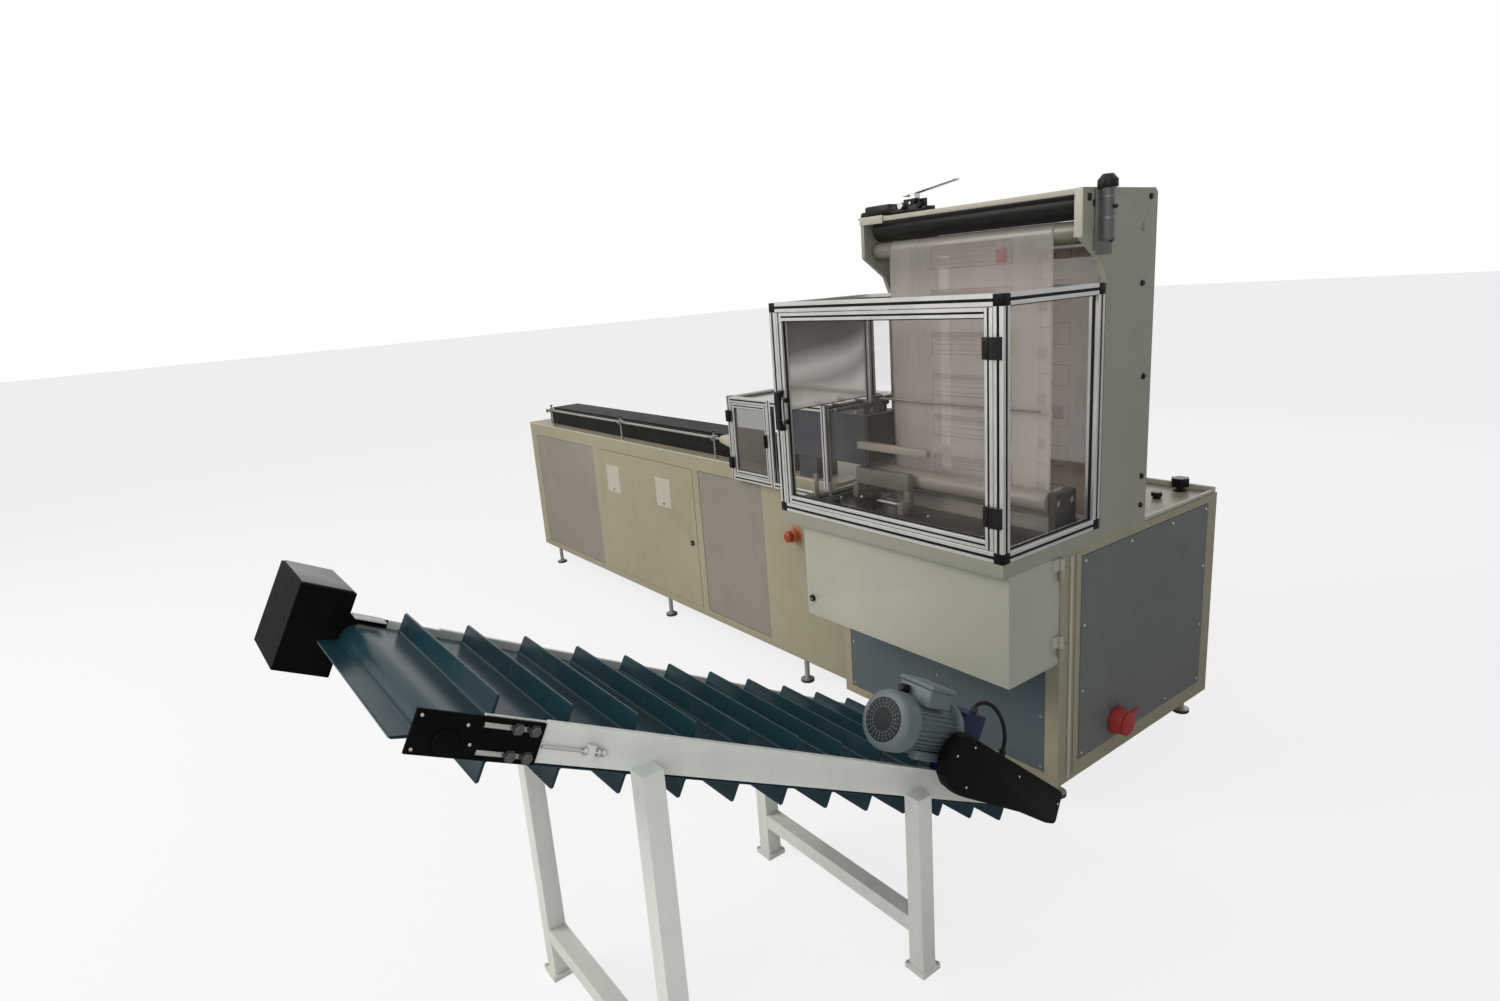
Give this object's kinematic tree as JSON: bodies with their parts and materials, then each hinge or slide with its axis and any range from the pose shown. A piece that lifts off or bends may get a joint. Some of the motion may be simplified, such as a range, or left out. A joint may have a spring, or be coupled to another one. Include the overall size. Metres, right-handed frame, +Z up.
{
  "type": "side-fed vertical film wrapper with take-away conveyor",
  "caption": "Side-fed film wrapping machine with a guarded film tower, drop-out hood and a sloping cleated take-away conveyor.",
  "frame": {"origin": "on the floor under the middle of the whole machine and its conveyor", "axes": "+X along the machine from the infeed end to the tower end, +Y from the conveyor and cabinet fronts to the back, +Z up"},
  "size_m": [3.8115, 2.743, 1.8505],
  "materials": {
    "aluminium": "anodised",
    "belt": "glossy blue-green belt",
    "black_plastic": "moulded black",
    "black_rubber": "plain black",
    "black_sheet": "black enamel",
    "blue_grey_paint": "satin blue-grey enamel",
    "clear_sheet": "clear sheet",
    "cream_paint": "satin cream enamel",
    "film": "thin printed film",
    "film_roll": "wound film",
    "gearbox_blue": "dark blue enamel",
    "grey_cylinder": "grey enamel",
    "grey_paint": "satin grey enamel",
    "inlet_red": "moulded red",
    "motor_grey": "grey-blue enamel",
    "orange_base": "moulded orange",
    "red_plastic": "moulded red",
    "slate_paint": "slate enamel",
    "steel": "ground",
    "white_paint": "satin off-white enamel"
  },
  "bodies": {
    "machine": {"bed_plate": "cream_paint", "chain_guard": "black_sheet", "conveyor_belt": "belt", "conveyor_frame": "white_paint", "drive_motor": "motor_grey", "emergency_stop_base": "orange_base", "far_head_cover": "black_sheet", "feed_cabinet": "cream_paint", "film_web": "film", "guard_frame": "aluminium", "guard_hinge_lower": "black_plastic", "guard_hinge_upper": "black_plastic", "guard_left_pane": "clear_sheet", "guard_right_pane": "clear_sheet", "guard_top_pane": "clear_sheet", "infeed_bed": "black_sheet", "infeed_belt": "black_rubber", "infeed_guide_rail": "steel", "inlet_body": "inlet_red", "left_panel": "grey_paint", "lower_front_panel": "blue_grey_paint", "main_cabinet": "cream_paint", "motor_cable": "black_rubber", "nip_cylinder": "grey_cylinder", "nip_lever_bracket": "black_plastic", "product_chute": "slate_paint", "right_end_cover": "blue_grey_paint", "right_panel": "grey_paint", "small_guard_frame": "aluminium", "small_guard_top_pane": "clear_sheet", "take_up_plate": "black_sheet", "tower_frame": "cream_paint", "worm_gearbox": "gearbox_blue"},
    "guard_door": {"guard_door_frame": "aluminium", "guard_door_pane": "clear_sheet", "guard_door_handle": "black_plastic"},
    "small_guard_door": {"small_guard_door_frame": "aluminium", "small_guard_door_pane": "clear_sheet"},
    "centre_door": {"centre_door": "cream_paint"},
    "centre_door_latch": {"centre_door_latch": "black_plastic"},
    "drop_box": {"drop_box": "white_paint"},
    "drop_box_latch": {"drop_box_latch": "black_plastic"},
    "emergency_stop_head": {"emergency_stop_head": "red_plastic"},
    "inlet_flap": {"inlet_flap": "black_plastic"},
    "nip_lever": {"nip_lever": "steel"},
    "film_reel": {"film_reel": "film_roll", "reel_shaft": "steel"},
    "nip_roller": {"nip_roller": "black_rubber"},
    "film_idler": {"film_idler": "steel"},
    "rear_idler": {"rear_idler": "steel"},
    "draw_roller_front": {"draw_roller_front": "steel"},
    "draw_roller_rear": {"draw_roller_rear": "steel"},
    "tail_drum": {"tail_drum": "steel"},
    "head_drum": {"head_drum": "steel"},
    "infeed_tail_roller": {"infeed_tail_roller": "steel"},
    "infeed_head_roller": {"infeed_head_roller": "steel"},
    "reel_brake_knob": {"reel_brake_knob": "black_plastic"},
    "reel_side_knob": {"reel_side_knob": "black_plastic"},
    "seal_jaw_front": {"seal_jaw_front": "steel"},
    "seal_jaw_rear": {"seal_jaw_rear": "steel"}
  },
  "joints": [
    {"name": "guard_door_hinge", "type": "hinge", "parent": "machine", "child": "guard_door", "pos_m": [1.66325, 0.22496, 0.8796], "axis": [0, 0, 1], "range_deg": [0, 110]},
    {"name": "small_guard_door_hinge", "type": "hinge", "parent": "machine", "child": "small_guard_door", "pos_m": [0.22925, 0.44396, 0.855], "axis": [0, 0, -1], "range_deg": [0, 110]},
    {"name": "centre_door_hinge", "type": "hinge", "parent": "machine", "child": "centre_door", "pos_m": [-1.02575, 0.48546, 0.165], "axis": [0, 0, -1], "range_deg": [0, 110]},
    {"name": "centre_door_latch_turn", "type": "hinge", "parent": "centre_door", "child": "centre_door_latch", "pos_m": [-0.19575, 0.48646, 0.468], "axis": [0, 1, 0], "range_deg": [0, 90]},
    {"name": "drop_box_hinge", "type": "hinge", "parent": "machine", "child": "drop_box", "pos_m": [1.70425, 0.47646, 0.489], "axis": [0, 0, 1], "range_deg": [0, 30]},
    {"name": "drop_box_latch_turn", "type": "hinge", "parent": "drop_box", "child": "drop_box_latch", "pos_m": [0.89925, 0.26046, 0.549], "axis": [0, 1, 0], "range_deg": [0, 90]},
    {"name": "emergency_stop_press", "type": "slide", "parent": "machine", "child": "emergency_stop_head", "axis": [0, 1, 0], "range_m": [0, 0.005], "stiffness_N_per_m": 400},
    {"name": "inlet_flap_hinge", "type": "hinge", "parent": "machine", "child": "inlet_flap", "pos_m": [1.73875, 0.83846, 0.199], "axis": [0, 0, 1], "range_deg": [0, 100], "stiffness_Nm_per_rad": 0.05},
    {"name": "nip_lever_pivot", "type": "hinge", "parent": "machine", "child": "nip_lever", "pos_m": [1.08425, 0.60896, 1.8005], "axis": [0, -1, 0], "range_deg": [0, 40]},
    {"name": "film_reel_spin", "type": "hinge", "parent": "machine", "child": "film_reel", "pos_m": [1.28925, 1.03696, 0.44], "axis": [1, 0, 0], "continuous": true},
    {"name": "nip_roller_spin", "type": "hinge", "parent": "machine", "child": "nip_roller", "pos_m": [1.29425, 0.60896, 1.73223], "axis": [1, 0, 0], "continuous": true},
    {"name": "film_idler_spin", "type": "hinge", "parent": "machine", "child": "film_idler", "pos_m": [1.29425, 0.61496, 1.666], "axis": [1, 0, 0], "continuous": true},
    {"name": "rear_idler_spin", "type": "hinge", "parent": "machine", "child": "rear_idler", "pos_m": [1.29425, 0.84296, 1.666], "axis": [1, 0, 0], "continuous": true},
    {"name": "draw_roller_front_spin", "type": "hinge", "parent": "machine", "child": "draw_roller_front", "pos_m": [1.25425, 0.55396, 0.935], "axis": [1, 0, 0], "continuous": true},
    {"name": "draw_roller_rear_spin", "type": "hinge", "parent": "machine", "child": "draw_roller_rear", "pos_m": [1.25425, 0.61896, 0.935], "axis": [1, 0, 0], "continuous": true},
    {"name": "tail_drum_spin", "type": "hinge", "parent": "machine", "child": "tail_drum", "pos_m": [1.53625, 0.13836, 0.2684], "axis": [1, 0, 0], "continuous": true},
    {"name": "head_drum_spin", "type": "hinge", "parent": "machine", "child": "head_drum", "pos_m": [1.53625, -1.22212, 0.9857], "axis": [1, 0, 0], "continuous": true},
    {"name": "infeed_tail_spin", "type": "hinge", "parent": "machine", "child": "infeed_tail_roller", "pos_m": [-1.70575, 0.63896, 0.953], "axis": [0, 1, 0], "continuous": true},
    {"name": "infeed_head_spin", "type": "hinge", "parent": "machine", "child": "infeed_head_roller", "pos_m": [0.49425, 0.63896, 0.953], "axis": [0, 1, 0], "continuous": true},
    {"name": "reel_brake_turn", "type": "hinge", "parent": "machine", "child": "reel_brake_knob", "pos_m": [1.59425, 1.32146, 0.8103], "axis": [0, 0, 1], "continuous": true},
    {"name": "reel_side_turn", "type": "hinge", "parent": "machine", "child": "reel_side_knob", "pos_m": [1.58625, 1.18646, 0.8103], "axis": [0, 0, 1], "continuous": true},
    {"name": "seal_jaw_close", "type": "slide", "parent": "machine", "child": "seal_jaw_front", "axis": [0, 1, 0], "range_m": [0, 0.035]},
    {"name": "seal_jaw_rear_close", "type": "slide", "parent": "machine", "child": "seal_jaw_rear", "axis": [0, -1, 0], "range_m": [0, 0.035]}
  ],
  "couplings": [
    {"joint": "draw_roller_front_spin", "follows": "film_reel_spin", "ratio": 5.1562},
    {"joint": "draw_roller_rear_spin", "follows": "film_reel_spin", "ratio": -5.1562},
    {"joint": "nip_roller_spin", "follows": "film_reel_spin", "ratio": 4.4},
    {"joint": "film_idler_spin", "follows": "film_reel_spin", "ratio": -5.8929},
    {"joint": "rear_idler_spin", "follows": "film_reel_spin", "ratio": -5.8929},
    {"joint": "infeed_head_spin", "follows": "infeed_tail_spin", "ratio": 1},
    {"joint": "head_drum_spin", "follows": "tail_drum_spin", "ratio": 1},
    {"joint": "seal_jaw_rear_close", "follows": "seal_jaw_close", "ratio": 1}
  ]
}
